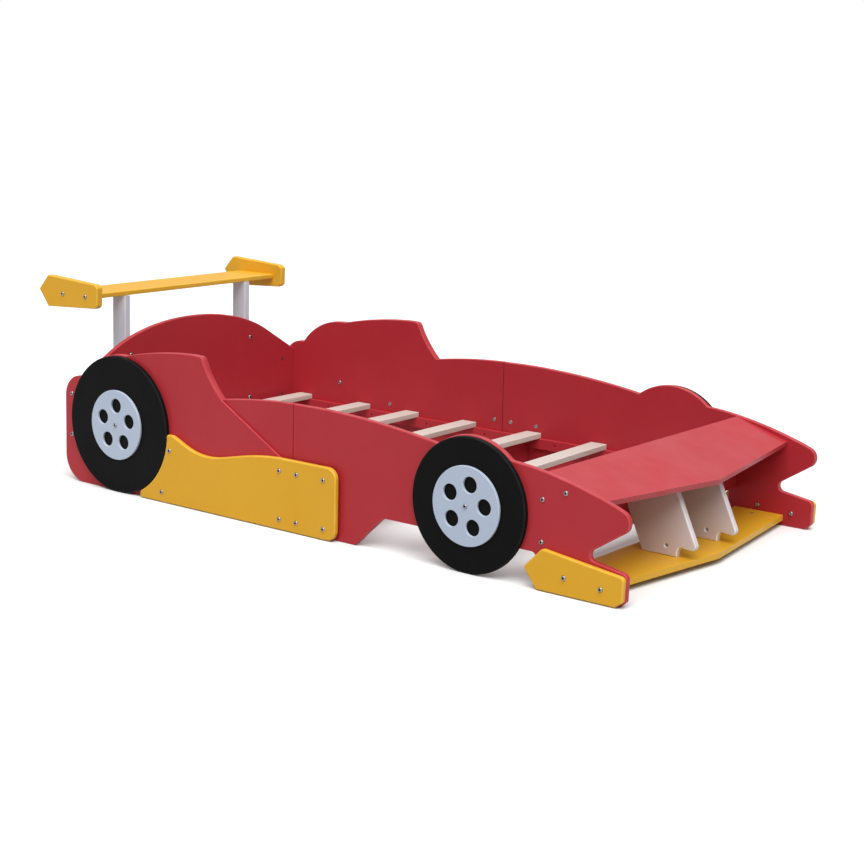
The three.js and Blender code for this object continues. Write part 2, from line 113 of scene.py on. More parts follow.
class Nodes:
    """Small helper that adds and links shader nodes in one material."""

    def __init__(self, name: str) -> None:
        """Start an empty node material with a Principled shader.

        Args:
            name: Name of the material.
        """
        self.material = bpy.data.materials.new(name)
        self.material.use_nodes = True
        self.tree = self.material.node_tree
        self.tree.nodes.clear()
        self.output = self.add("ShaderNodeOutputMaterial")
        self.shader = self.add("ShaderNodeBsdfPrincipled")
        self.link(self.shader, "BSDF", self.output, "Surface")
        self.coordinates = self.add("ShaderNodeTexCoord")

    def add(self, kind: str, **settings: object) -> Node:
        """Add a node.

        Args:
            kind: Blender's type name of the node.
            **settings: Node properties to set.

        Returns:
            The new node.
        """
        node = self.tree.nodes.new(kind)
        for key, value in settings.items():
            setattr(node, key, value)
        return node

    def link(self, source: Node, output: str | int, target: Node, socket: str | int) -> None:
        """Join one node's output to another's input."""
        self.tree.links.new(source.outputs[output], target.inputs[socket])

    def place(self, scale: Sequence[float] = (1, 1, 1), turn: Sequence[float] = (0, 0, 0)) -> Node:
        """Object coordinates, stretched and turned.

        Args:
            scale: Stretch along each axis.
            turn: Rotation in radians about each axis.

        Returns:
            The Mapping node.
        """
        mapping = self.add("ShaderNodeMapping")
        mapping.inputs["Scale"].default_value = scale
        mapping.inputs["Rotation"].default_value = turn
        self.link(self.coordinates, "Object", mapping, "Vector")
        return mapping

    def noise(self, mapping: Node, scale: float, detail: float = 3, rough: float = 0.5) -> Node:
        """Noise over mapped coordinates.

        Args:
            mapping: Node that gives the coordinates.
            scale: Repeats per metre.
            detail: Octaves of finer noise.
            rough: Strength of the finer octaves.

        Returns:
            The Noise Texture node.
        """
        node = self.add("ShaderNodeTexNoise")
        node.inputs["Scale"].default_value = scale
        node.inputs["Detail"].default_value = detail
        node.inputs["Roughness"].default_value = rough
        self.link(mapping, 0, node, "Vector")
        return node

    def range(self, source: Node, low: float, high: float, start: float, end: float,
              output: str | int = 0) -> Node:
        """Remap a value, clamped.

        Args:
            source: Node whose output is read.
            low: Input value that gives start.
            high: Input value that gives end.
            start: Output at low.
            end: Output at high.
            output: Socket of the source to read.

        Returns:
            The Map Range node.
        """
        node = self.add("ShaderNodeMapRange", clamp=True)
        for key, value in (("From Min", low), ("From Max", high), ("To Min", start), ("To Max", end)):
            node.inputs[key].default_value = value
        self.link(source, output, node, "Value")
        return node

    def math(self, operation: str, first: Node, second: Node | float,
             outputs: tuple[str | int, str | int] = (0, 0)) -> Node:
        """Arithmetic on two values, clamped.

        Args:
            operation: Blender's name of the operation.
            first: Node of the first value.
            second: Node of the second value, or a number.
            outputs: Sockets of the two nodes to read.

        Returns:
            The Math node.
        """
        node = self.add("ShaderNodeMath", operation=operation, use_clamp=True)
        self.link(first, outputs[0], node, 0)
        if isinstance(second, Node):
            self.link(second, outputs[1], node, 1)
        else:
            node.inputs[1].default_value = second
        return node

    def blend(self, factor: Node, first: object, second: object,
              mode: str = "MIX", output: str | int = 0) -> Node:
        """Mix two colours.

        Args:
            factor: Node whose value chooses between them.
            first: Colour, or a node that ends in a colour, at factor 0.
            second: Colour or node at factor 1.
            mode: Blend mode.
            output: Socket of the factor node to read.

        Returns:
            The Mix node; its colour is output 2.
        """
        node = self.add("ShaderNodeMix", data_type="RGBA", blend_type=mode)
        self.link(factor, output, node, 0)
        for socket, value in ((6, first), (7, second)):
            if isinstance(value, Node):
                self.tree.links.new(value.outputs[2 if value.type == "MIX" else 0], node.inputs[socket])
            else:
                node.inputs[socket].default_value = (*value, 1.0)
        return node

    def bump(self, height: Node, depth: float, strength: float = 1.0,
             under: Node | None = None, output: str | int = 0) -> Node:
        """Surface relief.

        Args:
            height: Node that gives the height.
            depth: Height in metres of a full step.
            strength: Share of the relief that shows.
            under: Relief to add this one to.
            output: Socket of the height node to read.

        Returns:
            The Bump node.
        """
        node = self.add("ShaderNodeBump")
        node.inputs["Distance"].default_value = depth
        node.inputs["Strength"].default_value = strength
        self.link(height, output, node, "Height")
        if under is not None:
            self.link(under, 0, node, "Normal")
        return node

    def set(self, **values: float) -> None:
        """Set constants on the shader, with spaces in socket names written as underscores."""
        for key, value in values.items():
            self.shader.inputs[key.replace("_", " ")].default_value = value


@dataclass(frozen=True)
class BoardPaint:
    """Satin lacquer rolled on smooth board: faint roller stipple, cloudy sheen, lighter edges that are partly worn
    paint and partly a painted highlight.
    """

    name: str
    colour: Colour
    deep: Colour
    # Edge colour, lighter than the paint, and its strength: partly worn paint, partly a painted highlight.
    rub_and_highlight_colour: Colour
    gloss_low: float = 0.36
    gloss_high: float = 0.50
    specular: float = 0.26
    stipple: float = 0.00005
    wear: float = 0.55

    def build(self) -> bpy.types.Material:
        """Make the material.

        Returns:
            The finished node material.
        """
        n = Nodes(self.name)
        plain = n.place()
        cloud = n.range(n.noise(plain, 2.6, 4, 0.55), 0.32, 0.68, 0.0, 1.0)
        mottle = n.range(n.noise(plain, 38.0, 3, 0.6), 0.35, 0.70, 0.0, 0.35)
        tone = n.blend(cloud, self.colour, self.deep)
        tone = n.blend(mottle, tone, self.deep)
        # Edges drawn lighter: partly worn paint, partly a painted highlight on lit edges.
        edge = n.add("ShaderNodeAttribute", attribute_name=WEAR_AND_PAINTED_LIGHT_LAYER)
        patchy = n.range(n.noise(plain, 24.0, 4, 0.65), 0.36, 0.62, 0.35, 1.0)
        rub_and_highlight = n.math("MULTIPLY", edge, patchy, ("Fac", 0))
        rub_and_highlight = n.math("MULTIPLY", rub_and_highlight, self.wear)
        tone = n.blend(rub_and_highlight, tone, self.rub_and_highlight_colour)
        n.link(tone, 2, n.shader, "Base Color")
        smears = n.noise(n.place((1.0, 1.0, 0.25)), 9.0, 5, 0.6)
        gloss = n.range(smears, 0.35, 0.68, self.gloss_low, self.gloss_high)
        n.link(gloss, 0, n.shader, "Roughness")
        orange_peel = n.bump(n.noise(plain, 420.0, 2, 0.5), self.stipple)
        rolled = n.bump(n.noise(plain, 90.0, 2, 0.45), self.stipple * 1.6, 1.0, orange_peel)
        n.link(rolled, 0, n.shader, "Normal")
        n.set(Specular_IOR_Level=self.specular, IOR=1.48)
        return n.material


@dataclass(frozen=True)
class PlanedPine:
    """Unfinished planed pine with the grain along Y: growth lines, fibres and a few small knots."""

    name: str = "planed_pine"
    early: Colour = (0.64, 0.575, 0.53)
    late: Colour = (0.52, 0.41, 0.34)
    knot: Colour = (0.22, 0.11, 0.055)

    def build(self) -> bpy.types.Material:
        """Make the material.

        Returns:
            The finished node material.
        """
        n = Nodes(self.name)
        drawn = n.place((1.0, 0.045, 1.0))
        wander = n.noise(drawn, 7.0, 3, 0.5)
        bent = n.add("ShaderNodeVectorMath", operation="MULTIPLY_ADD")
        n.link(wander, "Color", bent, 0)
        bent.inputs[1].default_value = (0.035, 0.0, 0.035)
        n.link(drawn, 0, bent, 2)
        rings = n.add("ShaderNodeTexWave", wave_type="BANDS", bands_direction="X", wave_profile="SAW")
        rings.inputs["Scale"].default_value = 34.0
        rings.inputs["Distortion"].default_value = 2.2
        rings.inputs["Detail"].default_value = 2.0
        rings.inputs["Detail Scale"].default_value = 1.4
        n.link(bent, 0, rings, "Vector")
        lines = n.range(rings, 0.45, 1.0, 0.0, 0.62, "Fac")
        fibres = n.range(n.noise(n.place((1.0, 0.02, 1.0)), 1100.0, 3, 0.6), 0.35, 0.7, 0.0, 0.35)
        tone = n.blend(lines, self.early, self.late)
        tone = n.blend(fibres, tone, self.late)
        spots = n.add("ShaderNodeTexVoronoi", feature="F1")
        spots.inputs["Scale"].default_value = 5.5
        n.link(n.place((1.6, 0.8, 1.6)), 0, spots, "Vector")
        knots = n.range(spots, 0.035, 0.075, 0.75, 0.0, "Distance")
        tone = n.blend(knots, tone, self.knot)
        # Edges drawn lighter: partly worn timber, partly a painted highlight.
        edge = n.add("ShaderNodeAttribute", attribute_name=WEAR_AND_PAINTED_LIGHT_LAYER)
        soft = n.math("MULTIPLY", edge, 0.25, ("Fac", 0))
        tone = n.blend(soft, tone, (0.86, 0.72, 0.60))
        n.link(tone, 2, n.shader, "Base Color")
        n.link(n.range(fibres, 0.0, 0.35, 0.58, 0.74), 0, n.shader, "Roughness")
        grain = n.bump(rings, 0.00012, 0.6, None, "Fac")
        n.link(n.bump(fibres, 0.0001, 0.8, grain), 0, n.shader, "Normal")
        n.set(Specular_IOR_Level=0.28)
        return n.material


@dataclass(frozen=True)
class ZincSteel:
    """Bright zinc plate with a faint brushed bloom; hex sockets coloured near black as painted shade."""

    name: str = "zinc_steel"
    colour: Colour = (0.40, 0.42, 0.44)
    dull: Colour = (0.26, 0.27, 0.285)
    painted_socket_shade: Colour = (0.03, 0.03, 0.032)

    def build(self) -> bpy.types.Material:
        """Make the material.

        Returns:
            The finished node material.
        """
        n = Nodes(self.name)
        plain = n.place()
        bloom = n.range(n.noise(plain, 260.0, 4, 0.6), 0.36, 0.66, 0.0, 1.0)
        # Painted shade: the hex socket's faces are coloured near black where the recess lies in shade.
        painted_socket_shade = n.add("ShaderNodeAttribute", attribute_name=WEAR_AND_PAINTED_LIGHT_LAYER)
        tone = n.blend(bloom, self.colour, self.dull)
        n.link(n.blend(painted_socket_shade, tone, self.painted_socket_shade, output="Fac"), 2, n.shader, "Base Color")
        n.link(n.range(n.noise(plain, 700.0, 3, 0.5), 0.3, 0.7, 0.24, 0.44), 0, n.shader, "Roughness")
        n.link(n.bump(n.noise(plain, 1800.0, 2, 0.5), 0.00002), 0, n.shader, "Normal")
        n.set(Metallic=1.0)
        return n.material


@dataclass(frozen=True)
class StudioFloor:
    """Matt, pale, seamless floor."""

    name: str = "studio_floor"
    colour: Colour = (0.93, 0.93, 0.93)
    shade: Colour = (0.90, 0.90, 0.905)
    bounce: Colour = (0.42, 0.42, 0.42)

    def build(self) -> bpy.types.Material:
        """Make the material.

        Returns:
            The finished node material.
        """
        n = Nodes(self.name)
        cloud = n.noise(n.place(), 0.8, 2, 0.5)
        seen = n.blend(cloud, self.colour, self.shade)
        path = n.add("ShaderNodeLightPath")
        n.link(n.blend(path, seen, self.bounce, output="Is Diffuse Ray"), 2, n.shader, "Base Color")
        n.set(Roughness=0.9, Specular_IOR_Level=0.0)
        return n.material


@dataclass
class Workshop:
    """The finishes, each made once, a table of the record's slot that each stands for, and the drawings' zero.

    Drawings are in millimetres from the rear axle's X, the middle of the bed and the floor.
    """

    red: BoardPaint = BoardPaint("red_lacquer", (0.475, 0.029, 0.040), (0.435, 0.025, 0.035), (0.68, 0.115, 0.13))
    yellow: BoardPaint = BoardPaint("yellow_lacquer", (0.80, 0.43, 0.026), (0.76, 0.395, 0.022),
                                    (0.90, 0.58, 0.09))
    black: BoardPaint = BoardPaint("black_lacquer", (0.0085, 0.0085, 0.0087), (0.0062, 0.0062, 0.0064),
                                   (0.028, 0.028, 0.030), 0.44, 0.60, 0.045)
    silver: BoardPaint = BoardPaint("silver_blue_lacquer", (0.50, 0.58, 0.71), (0.47, 0.55, 0.68),
                                    (0.72, 0.78, 0.88))
    white: BoardPaint = BoardPaint("white_lacquer", (0.65, 0.68, 0.77), (0.60, 0.63, 0.72), (0.88, 0.88, 0.92))
    # Painted reflection: white tinted pink by light bounced off the red and yellow boards, with edges drawn much
    # lighter as a painted highlight.
    bounce_tinted_white: BoardPaint = BoardPaint("bounce_tinted_white_lacquer", (0.72, 0.63, 0.61), (0.66, 0.575, 0.555),
                                  (0.90, 0.90, 0.94), wear=0.9)
    pine: PlanedPine = PlanedPine()
    steel: ZincSteel = ZincSteel()
    made: dict[str, bpy.types.Material] = field(default_factory=dict)
    zero: float = 0.0

    SLOTS = {
        "red": "red_paint", "yellow": "yellow_paint", "black": "black_paint", "silver": "silver_paint",
        "white": "white_paint", "bounce_tinted_white": "white_paint", "pine": "pine", "steel": "zinc_steel",
    }

    def __post_init__(self) -> None:
        """Read the rear axle's place in the frame."""
        low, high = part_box("rear_wheel_right_tyre")
        self.zero = (low.x + high.x) / 2 / MM

    def extent(self, node: str) -> tuple[Vector, Vector]:
        """Box of a frame node in drawing millimetres.

        Args:
            node: Name of the node.

        Returns:
            Its low and high corners.
        """
        shift = Vector((self.zero, 0.0, 0.0))
        low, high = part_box(node)
        return low / MM - shift, high / MM - shift

    def frame(self) -> Matrix:
        """Turn drawing millimetres into metres in the bed's frame."""
        return Matrix.Scale(MM, 4) @ Matrix.Translation((self.zero, 0.0, 0.0))

    def point(self, x: float, y: float, z: float) -> Vector:
        """Place in the frame, in metres, of a point in drawing millimetres."""
        return self.frame() @ Vector((x, y, z))

    def dress(self, piece: bpy.types.Object, paint: str) -> None:
        """Give a piece its finish.

        Args:
            piece: The finished piece.
            paint: Field name of the finish.
        """
        if paint not in self.made:
            self.made[paint] = getattr(self, paint).build()
        piece.data.materials.clear()
        piece.data.materials.append(self.made[paint])


# --------------------------------------------------------------------------- boards


class Outline:
    """Outline of a flat board in millimetres, grown edge by edge in a bmesh."""

    def __init__(self, x: float, y: float, radius: float = 0.0) -> None:
        """Start at one corner.

        Args:
            x: First coordinate of the corner.
            y: Second coordinate of the corner.
            radius: Radius that rounds the corner.
        """
        self.mesh = bmesh.new()
        self.first = self.last = self.mesh.verts.new((x, y, 0.0))
        self.rounds: list[tuple[bmesh.types.BMVert, float]] = []
        if radius:
            self.rounds.append((self.first, radius))

    def line(self, x: float, y: float, radius: float = 0.0) -> Outline:
        """Run straight to the next corner.

        Args:
            x: First coordinate of the corner.
            y: Second coordinate of the corner.
            radius: Radius that rounds the corner, or 0.

        Returns:
            The outline, for the next call.
        """
        corner = self.mesh.verts.new((x, y, 0.0))
        self.mesh.edges.new((self.last, corner))
        self.last = corner
        if radius:
            self.rounds.append((corner, radius))
        return self

    def arc(self, centre: Point, radius: float, start: float, end: float) -> Outline:
        """Run to the start of an arc and sweep along it.

        Args:
            centre: Centre of the arc.
            radius: Radius of the arc.
            start: First angle in degrees.
            end: Last angle in degrees.

        Returns:
            The outline, for the next call.
        """
        angle = math.radians(start)
        self.line(centre[0] + radius * math.cos(angle), centre[1] + radius * math.sin(angle))
        sweep = math.radians(end - start)
        swept = bmesh.ops.spin(
            self.mesh, geom=[self.last], cent=(*centre, 0.0), axis=(0.0, 0.0, 1.0), angle=sweep,
            steps=max(3, round(abs(end - start) / 2.5)), use_merge=False, use_duplicate=False,
        )
        self.last = next(g for g in swept["geom_last"] if isinstance(g, bmesh.types.BMVert))
        return self

    def curve(self, start: Point, leave: Point, arrive: Point, end: Point) -> Outline:
        """Run to the start of a Bezier curve and follow it.

        Args:
            start: First point.
            leave: Handle of the first point.
            arrive: Handle of the last point.
            end: Last point.

        Returns:
            The outline, for the next call.
        """
        knots = [Vector((*p, 0.0)) for p in (start, leave, arrive, end)]
        for point in interpolate_bezier(*knots, 26):
            self.line(point.x, point.y)
        return self

    def close(self, holes: Sequence[tuple[float, float, float]] = ()) -> BMesh:
        """Close the outline, round its corners and fill it.

        Args:
            holes: Round holes as x, y and radius.

        Returns:
            A bmesh that holds the flat faces.
        """
        bm = self.mesh
        bm.edges.new((self.last, self.first))
        bmesh.ops.edgeloop_fill(bm, edges=bm.edges[:])
        for corner, radius in self.rounds:
            ways = [(edge.other_vert(corner).co - corner.co).normalized() for edge in corner.link_edges]
            half = ways[0].angle(ways[1]) / 2
            centre = corner.co + (ways[0] + ways[1]).normalized() * radius / math.sin(half)
            rounded = bmesh.ops.bevel(
                bm, geom=[corner], offset=radius / math.tan(half), offset_type="OFFSET",
                segments=max(3, round((math.pi - 2 * half) / math.radians(7))), profile=0.5,
                affect="VERTICES", clamp_overlap=True, material=-1,
            )
            for vert in rounded["verts"]:
                vert.co = centre + (vert.co - centre).normalized() * radius
        bmesh.ops.remove_doubles(bm, verts=bm.verts[:], dist=0.01)
        if holes:
            bmesh.ops.delete(bm, geom=bm.faces[:], context="FACES_ONLY")
            for x, y, radius in holes:
                ring = bmesh.ops.create_circle(bm, cap_ends=False, segments=40 if radius > 8 else 20, radius=radius)
                bmesh.ops.translate(bm, verts=ring["verts"], vec=(x, y, 0.0))
            bmesh.ops.triangle_fill(bm, edges=bm.edges[:], use_beauty=True, use_dissolve=False)
            bmesh.ops.dissolve_limit(bm, angle_limit=0.01, verts=bm.verts[:], edges=bm.edges[:])
        return bm


def roll_edges(bm: BMesh, edges: Sequence[bmesh.types.BMEdge], radius: float, segments: int,
               slide: bool = True) -> list[bmesh.types.BMFace]:
    """Round sharp edges.

    Args:
        bm: The solid.
        edges: Edges to round.
        radius: Radius in millimetres.
        segments: Steps round each edge.
        slide: Whether corners slide along unrounded edges.

    Returns:
        The new rounded faces.
    """
    return bmesh.ops.bevel(
        bm, geom=edges, offset=radius, offset_type="OFFSET", segments=segments, profile=0.5,
        affect="EDGES", clamp_overlap=True, material=-1, loop_slide=slide,
    )["faces"]


def rectangle(x0: float, y0: float, x1: float, y1: float, radius: float = 0.0) -> Outline:
    """Outline of a rectangle with rounded corners."""
    return Outline(x0, y0, radius).line(x1, y0, radius).line(x1, y1, radius).line(x0, y1, radius)


@dataclass
class Board:
    """One finished board: an outline given the thickness and the place of its frame node."""

    node: str
    outline: Outline
    lie: Lie
    paint: str
    edge: float = 2.4
    segments: int = 4
    holes: tuple[tuple[float, float, float], ...] = ()
    butts: tuple[tuple[int, float], ...] = ()
    tilt: Matrix | None = None
    thickness: float = 0.0

    def solid(self, depth: float) -> BMesh:
        """Give the outline its thickness and roll its edges.

        Args:
            depth: Thickness in millimetres.

        Returns:
            The closed board, standing on z = 0.
        """
        bm = self.outline.close(self.holes)
        grown = bmesh.ops.extrude_face_region(bm, geom=bm.faces[:])
        top = [g for g in grown["geom"] if isinstance(g, bmesh.types.BMVert)]
        bmesh.ops.translate(bm, verts=top, vec=(0.0, 0.0, depth))
        bmesh.ops.recalc_face_normals(bm, faces=bm.faces[:])
        # Edge faces are marked to be drawn lighter: partly worn paint, partly a painted highlight.
        wear = bm.faces.layers.float.new(WEAR_AND_PAINTED_LIGHT_LAYER)
        for face in bm.faces:
            face[wear] = 0.0 if abs(face.normal.z) > 0.5 else 0.3
        rim = [e for e in bm.edges if self._is_flat_edge(e, RIM_ANGLE) and not self._is_butt(e)]
        for face in roll_edges(bm, rim, self.edge, self.segments, False):
            face[wear] = 1.0
        hairline = [e for e in bm.edges if self._is_flat_edge(e, HAIRLINE_ANGLE) and self._is_butt(e)]
        roll_edges(bm, hairline, HAIRLINE, 2)
        bmesh.ops.remove_doubles(bm, verts=bm.verts[:], dist=WELD)
        return bm

    def _is_flat_edge(self, edge: bmesh.types.BMEdge, sharper: float) -> bool:
        """Whether an edge runs level round a face, with its two faces at more than an angle."""
        return abs(edge.verts[0].co.z - edge.verts[1].co.z) < 1e-6 and edge.calc_face_angle(0.0) > sharper

    def _is_butt(self, edge: bmesh.types.BMEdge) -> bool:
        """Whether an edge lies on an end that butts against another board."""
        middle = (edge.verts[0].co + edge.verts[1].co) / 2
        return any(abs(abs(middle[axis]) - value) < BUTT_NEAR for axis, value in self.butts)

    def build(self, shop: Workshop) -> bpy.types.Object:
        """Make the board, put it in its place and paint it.

        Args:
            shop: Finishes and drawing zero.

        Returns:
            The finished piece.
        """
        low, high = shop.extent(self.node)
        size = high - low
        thick = {Lie.ALONG: size.y, Lie.ACROSS: size.x, Lie.FLAT: size.z}[self.lie]
        bm = self.solid(self.thickness or thick)
        if self.tilt is not None:
            place = self.tilt
        elif self.lie is Lie.ALONG:
            place = Matrix(((1, 0, 0, 0), (0, 0, -1, high.y), (0, 1, 0, 0), (0, 0, 0, 1)))
        elif self.lie is Lie.ACROSS:
            place = Matrix(((0, 0, 1, low.x), (1, 0, 0, 0), (0, 1, 0, 0), (0, 0, 0, 1)))
        else:
            place = Matrix.Translation((0, 0, low.z))
        bmesh.ops.transform(bm, matrix=shop.frame() @ place, verts=bm.verts[:])
        return finish_piece(bm, f"{self.node}_board", self.paint, shop, self.node)


def finish_piece(bm: BMesh, name: str, paint: str, shop: Workshop, *nodes: str) -> bpy.types.Object:
    """Turn a bmesh into a shaded, dressed piece that rides with the bed.

    Args:
        bm: The finished geometry in metres, in the bed's frame.
        name: Name of the piece.
        paint: Finish of the piece.
        shop: Finishes and drawing zero.
        *nodes: Frame nodes that the piece stands for.

    Returns:
        The new object.
    """
    mesh = bpy.data.meshes.new(name)
    bm.to_mesh(mesh)
    bm.free()
    mesh.shade_smooth()
    mesh.set_sharp_from_angle(angle=SMOOTH_ANGLE)
    piece = bpy.data.objects.new(name, mesh)
    bpy.context.scene.collection.objects.link(piece)
    weighted = piece.modifiers.new("even_shading", "WEIGHTED_NORMAL")
    weighted.keep_sharp = True
    shop.dress(piece, paint)
    if nodes:
        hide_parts(*nodes)
    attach(piece, BODY)
    log.info("%s: %d faces", name, len(mesh.polygons))
    return piece


# --------------------------------------------------------------------------- fasteners


@dataclass
class Fastener:
    """One bolt, screw or dowel end."""

    kind: Head
    at: Vector
    faces: Vector
    radius: float = HEAD_R
    height: float = 2.6
    shank: float = 0.0
    far_cap: bool = False

    def add(self, bm: BMesh) -> None:
        """Add the fastener to a mesh.

        Args:
            bm: Mesh in metres, in the bed's frame.
        """
        own = bmesh.new()
        own.faces.layers.float.new(WEAR_AND_PAINTED_LIGHT_LAYER)
        if self.kind is Head.BUTTON:
            self._button(own)
        elif self.kind is Head.CAP:
            self._turned(own, ((1.0, 0.0), (1.0, 0.45), (0.92, 0.8), (0.72, 1.0)), 0.0)
        elif self.kind is Head.DOWEL:
            self._turned(own, ((1.0, 0.0), (1.0, 0.7), (0.93, 1.0)), 0.0)
            self._slot(own, 0.0)
        else:
            self._turned(own, ((1.0, 0.0), (0.97, 0.75), (0.85, 1.0)), 0.0)
            self._slot(own, 0.0)
            self._slot(own, math.pi / 2)
        turn = self.faces.to_track_quat("Z", "Y").to_matrix().to_4x4()
        place = Matrix.Translation(self.at) @ turn @ Matrix.Scale(MM, 4)
        bmesh.ops.transform(own, matrix=place, verts=own.verts[:])
        part = bpy.data.meshes.new("fastener")
        own.to_mesh(part)
        own.free()
        bm.from_mesh(part)
        bpy.data.meshes.remove(part)

    def _ring(self, bm: BMesh, edges: list, radius: float, was: float, rise: float) -> list:
        """Extrude a ring of edges to a new radius and height.

        Args:
            bm: Mesh to build in.
            edges: Edges of the ring.
            radius: New radius.
            was: Radius of the ring.
            rise: Height from the ring to the new one.

        Returns:
            The edges of the new ring.
        """
        grown = bmesh.ops.extrude_edge_only(bm, edges=edges)["geom"]
        verts = [g for g in grown if isinstance(g, bmesh.types.BMVert)]
        ratio = radius / was
        bmesh.ops.scale(bm, verts=verts, vec=(ratio, ratio, 1.0))
        bmesh.ops.translate(bm, verts=verts, vec=(0.0, 0.0, rise))
        return [g for g in grown if isinstance(g, bmesh.types.BMEdge)]

    def _turned(self, bm: BMesh, rings: Sequence[Point], inner: float) -> list:
        """Build a turned head ring by ring from its base.

        Args:
            bm: Mesh to build in, in millimetres.
            rings: Radius and height of each ring as shares of the head's.
            inner: Radius in millimetres of an opening left in the top, or 0 to close it.

        Returns:
            The edges of the last ring.
        """
        radius = self.radius * rings[0][0]
        bmesh.ops.create_circle(bm, cap_ends=False, segments=24, radius=radius)
        edges, level = bm.edges[:], 0.0
        bmesh.ops.edgeloop_fill(bm, edges=edges)
        for share, rise in rings[1:]:
            edges = self._ring(bm, edges, self.radius * share, radius, self.height * (rise - level))
            radius, level = self.radius * share, rise
        if not inner:
            bmesh.ops.edgeloop_fill(bm, edges=edges)
        bmesh.ops.recalc_face_normals(bm, faces=bm.faces[:])
        return edges

    def _button(self, bm: BMesh) -> None:
        """Domed head with a hexagon socket, and the shank and far cap where it has them.

        Args:
            bm: Mesh to build in, in millimetres.
        """
        dome = ((1.0, 0.0), (1.0, 0.18), (0.95, 0.45), (0.86, 0.74), (0.74, 0.94), (0.66, 1.0))
        rim = self._turned(bm, dome, 1.0)
        socket = bmesh.ops.create_circle(bm, cap_ends=False, segments=6, radius=self.radius * 0.54)
        bmesh.ops.translate(bm, verts=socket["verts"], vec=(0.0, 0.0, self.height))
        hexagon = list({e for v in socket["verts"] for e in v.link_edges})
        bmesh.ops.bridge_loops(bm, edges=rim + hexagon)
        floor = self._ring(bm, hexagon, 1.0, 1.0, -self.height * 0.85)
        bottom = bmesh.ops.edgeloop_fill(bm, edges=floor)["faces"]
        # Socket faces are marked for painted shade: the steel colours them near black.
        painted_socket_shade = bm.faces.layers.float[WEAR_AND_PAINTED_LIGHT_LAYER]
        for face in {f for edge in floor for f in edge.link_faces} | set(bottom):
            face[painted_socket_shade] = 1.0
        if self.shank:
            rod = bmesh.ops.create_cone(
                bm, cap_ends=True, segments=16, radius1=BOLT_R, radius2=BOLT_R, depth=self.shank)
            bmesh.ops.translate(bm, verts=rod["verts"], vec=(0.0, 0.0, -self.shank / 2 - 0.02))
        if self.far_cap:
            cap = bmesh.ops.create_cone(
                bm, cap_ends=True, segments=24, radius1=self.radius * 0.8, radius2=self.radius,
                depth=CAP_H)
            bmesh.ops.translate(bm, verts=cap["verts"], vec=(0.0, 0.0, -self.shank - CAP_H / 2))
            end = self.shank + CAP_H
            outer = [e for e in bm.edges if all(abs(v.co.z + end) < 1e-4 for v in e.verts)]
            roll_edges(bm, outer, 0.5, 2)
        bmesh.ops.recalc_face_normals(bm, faces=bm.faces[:])

    def _slot(self, bm: BMesh, turn: float) -> None:
        """Add a driver slot, a narrow bar let into the head.

        Args:
            bm: Mesh to build in, in millimetres.
            turn: Angle of the slot in radians.
        """
        bar = bmesh.ops.create_cube(bm, size=1.0)
        bmesh.ops.scale(bm, verts=bar["verts"], vec=(self.radius * 1.25, self.radius * 0.22, 0.3))
        bmesh.ops.rotate(bm, verts=bar["verts"], cent=(0, 0, 0), matrix=Matrix.Rotation(turn, 3, "Z"))
        bmesh.ops.translate(bm, verts=bar["verts"], vec=(0.0, 0.0, self.height - 0.10))


def fit_fasteners(name: str, fasteners: Sequence[Fastener], shop: Workshop, *nodes: str) -> bpy.types.Object:
    """Make one steel piece of several fasteners.

    Args:
        name: Name of the piece.
        fasteners: The fasteners.
        shop: Finishes and drawing zero.
        *nodes: Frame nodes that the piece stands for.

    Returns:
        The new object.
    """
    bm = bmesh.new()
    for fastener in fasteners:
        fastener.add(bm)
    return finish_piece(bm, name, "steel", shop, *nodes)


# --------------------------------------------------------------------------- sub-assemblies


